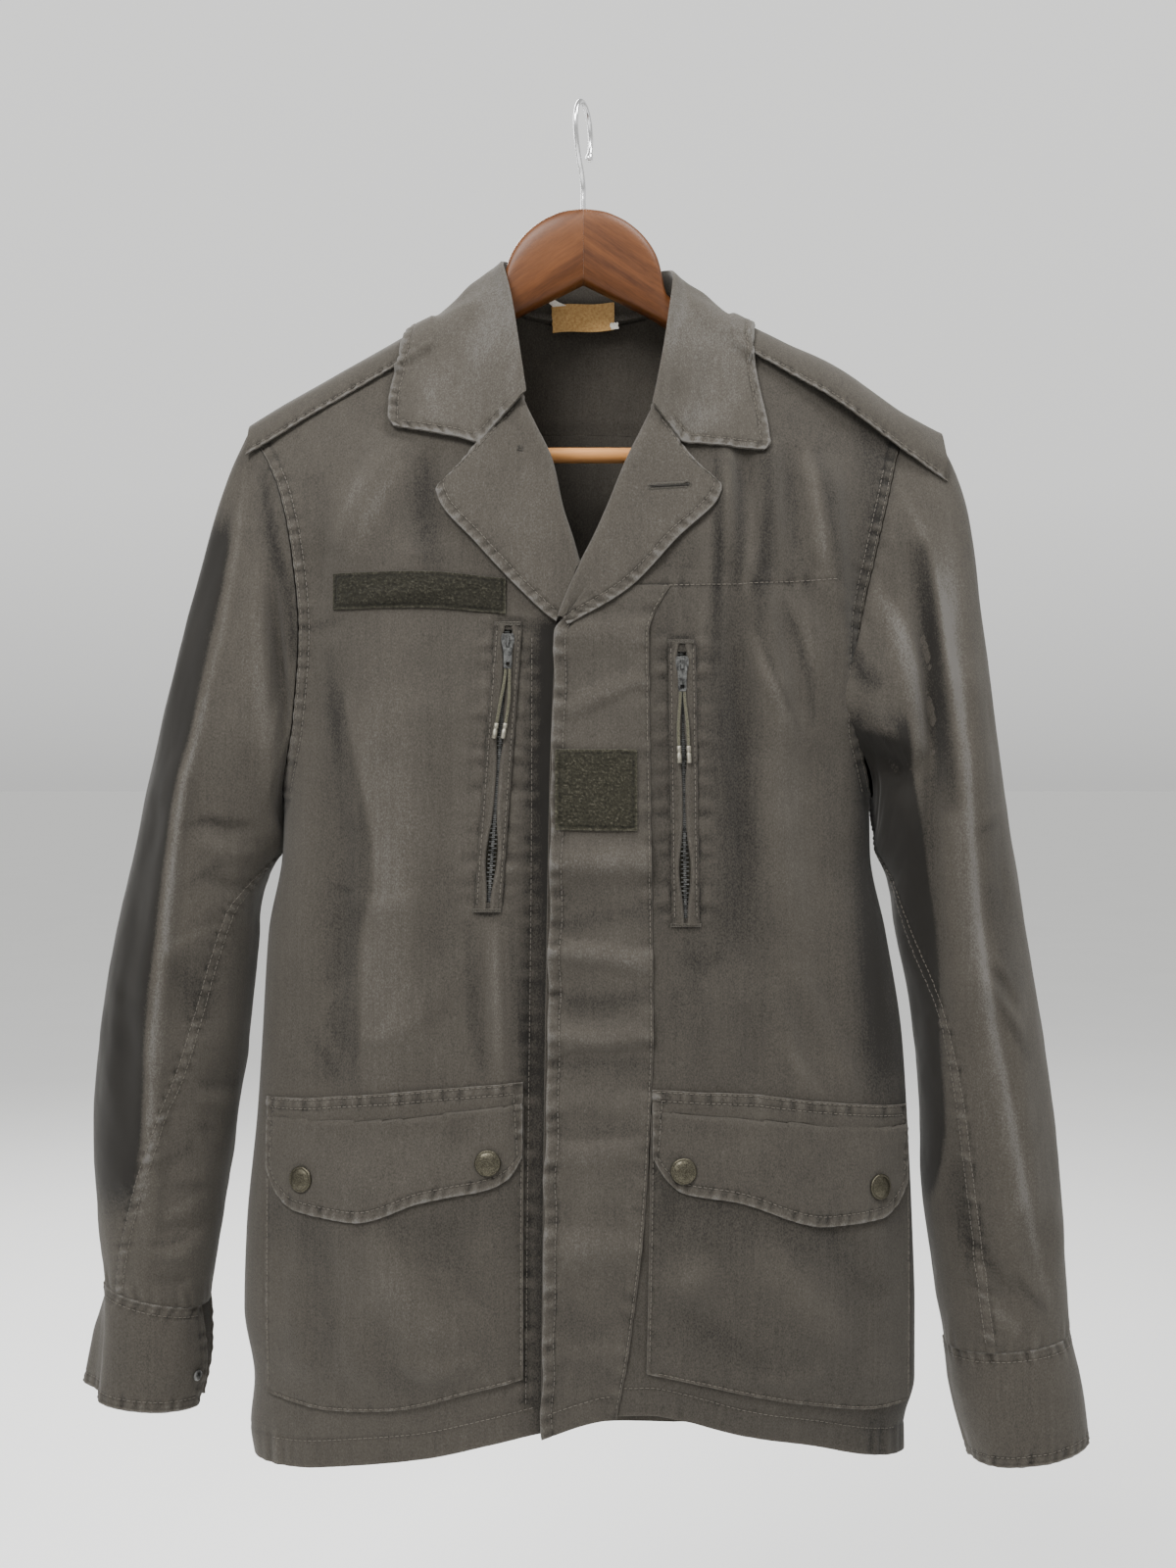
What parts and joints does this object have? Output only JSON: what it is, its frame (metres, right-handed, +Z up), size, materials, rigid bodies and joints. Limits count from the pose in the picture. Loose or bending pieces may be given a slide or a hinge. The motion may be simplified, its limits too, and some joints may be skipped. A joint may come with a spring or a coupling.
{
  "type": "field jacket on a wooden hanger",
  "caption": "Military style field jacket with notched collar, patch pockets, chest zips and shoulder straps, hanging open at the neck from a wooden hanger with a wire hook.",
  "frame": {"origin": "inside top of the hanger's hook, where it hangs on a rod or peg", "axes": "+Z up, -Y the front of the jacket, +X the viewer's right"},
  "size_m": [0.655, 0.1294, 0.8771],
  "materials": {
    "twill": "washed grey olive cotton twill",
    "loop_fastener": "dark olive loop pile",
    "label_cloth": "plain tan woven tape",
    "zip_tape": "dark olive woven tape",
    "cord": "braided olive cord",
    "snap_metal": "hammered, antique",
    "stud_metal": "bright",
    "zip_metal": "gunmetal",
    "walnut": "satin lacquer",
    "bar_wood": "satin",
    "hook_wire": "polished"
  },
  "bodies": {
    "root": {"back": "twill", "back_yoke": "twill", "front_left": "twill", "front_right": "twill", "sleeve_left_top": "twill", "sleeve_left_under": "twill", "sleeve_right_top": "twill", "sleeve_right_under": "twill", "cuff_left": "twill", "cuff_right": "twill", "collar": "twill", "lapel_left": "twill", "lapel_right": "twill", "fly_band": "twill", "pocket_left": "twill", "pocket_right": "twill", "flap_left": "twill", "flap_right": "twill", "shoulder_strap_left": "twill", "shoulder_strap_right": "twill", "square_patch": "loop_fastener", "name_tape": "loop_fastener", "neck_label": "label_cloth", "cuff_stud": "stud_metal", "snap_left_inner": "snap_metal", "snap_left_outer": "snap_metal", "snap_right_inner": "snap_metal", "snap_right_outer": "snap_metal", "zip_left": "zip_tape", "zip_right": "zip_tape", "slider_left": "zip_metal", "slider_right": "zip_metal", "hanger_arm_left": "walnut", "hanger_arm_right": "walnut", "hanger_bar": "bar_wood", "hanger_hook": "hook_wire"},
    "pull_left": {"pull_tab_left": "zip_metal", "cord_left_a": "cord", "cord_left_b": "cord", "cord_end_left_a": "zip_metal", "cord_end_left_b": "zip_metal"},
    "pull_right": {"pull_tab_right": "zip_metal", "cord_right_a": "cord", "cord_right_b": "cord", "cord_end_right_a": "zip_metal", "cord_end_right_b": "zip_metal"}
  },
  "joints": [
    {"name": "pull_left_hinge", "type": "hinge", "parent": "root", "child": "pull_left", "pos_m": [-0.04629, -0.06281, -0.3521], "axis": [-1, 0, 0], "range_deg": [0, 150]},
    {"name": "pull_right_hinge", "type": "hinge", "parent": "root", "child": "pull_right", "pos_m": [0.06089, -0.06259, -0.3661], "axis": [-1, 0, 0], "range_deg": [0, 150]}
  ]
}
